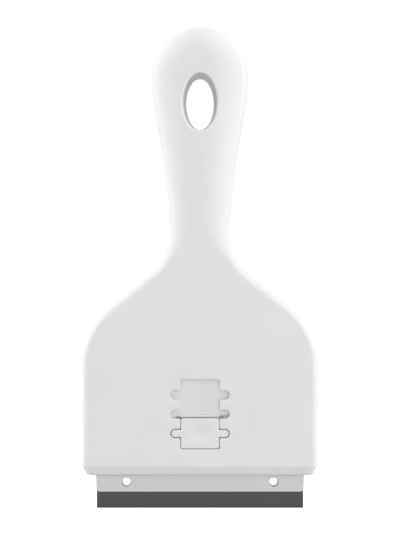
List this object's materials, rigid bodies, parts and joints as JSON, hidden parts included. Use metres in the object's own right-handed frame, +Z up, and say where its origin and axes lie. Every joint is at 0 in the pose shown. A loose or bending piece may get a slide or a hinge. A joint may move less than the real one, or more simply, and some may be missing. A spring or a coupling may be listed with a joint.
{
  "type": "aquarium algae scraper",
  "caption": "Hand scraper for aquarium glass: flat shouldered head, paddle handle with an oval hang hole, and a wide blade that slides out of the head and locks with a press button.",
  "frame": {"origin": "where a hook bears, at the top of the hang hole's waist, on the mid plane", "axes": "+Z up the handle, +X to the right seen from the front, -Y out of the front face with the button"},
  "size_m": [0.1134, 0.022, 0.2333],
  "materials": {
    "white_plastic": "fine satin moulding",
    "grey_plastic": "fine satin moulding",
    "dark_blade": "dark satin, ground edge",
    "stainless_screw": "satin"
  },
  "bodies": {
    "housing": {"front_shell": "white_plastic", "rear_shell": "white_plastic", "shell_screw_1": "stainless_screw", "shell_screw_2": "stainless_screw", "shell_screw_3": "stainless_screw", "shell_screw_4": "stainless_screw", "shell_screw_5": "stainless_screw", "shell_screw_6": "stainless_screw"},
    "carriage": {"blade_carriage": "white_plastic", "front_jaw": "grey_plastic", "rear_jaw": "grey_plastic", "scraper_blade": "dark_blade", "jaw_screw_1": "stainless_screw", "jaw_screw_2": "stainless_screw", "jaw_screw_3": "stainless_screw", "latch_spring": "white_plastic", "latch_screw": "stainless_screw"},
    "button": {"lock_button": "white_plastic"}
  },
  "joints": [
    {"name": "carriage_slide", "type": "slide", "parent": "housing", "child": "carriage", "axis": [0, 0, 1], "range_m": [0, 0.0184]},
    {"name": "button_press", "type": "slide", "parent": "carriage", "child": "button", "axis": [0, 1, 0], "range_m": [0, 0.0024], "stiffness_N_per_m": 1500, "springref_m": -0.0005, "deforming": ["latch_spring"]}
  ]
}
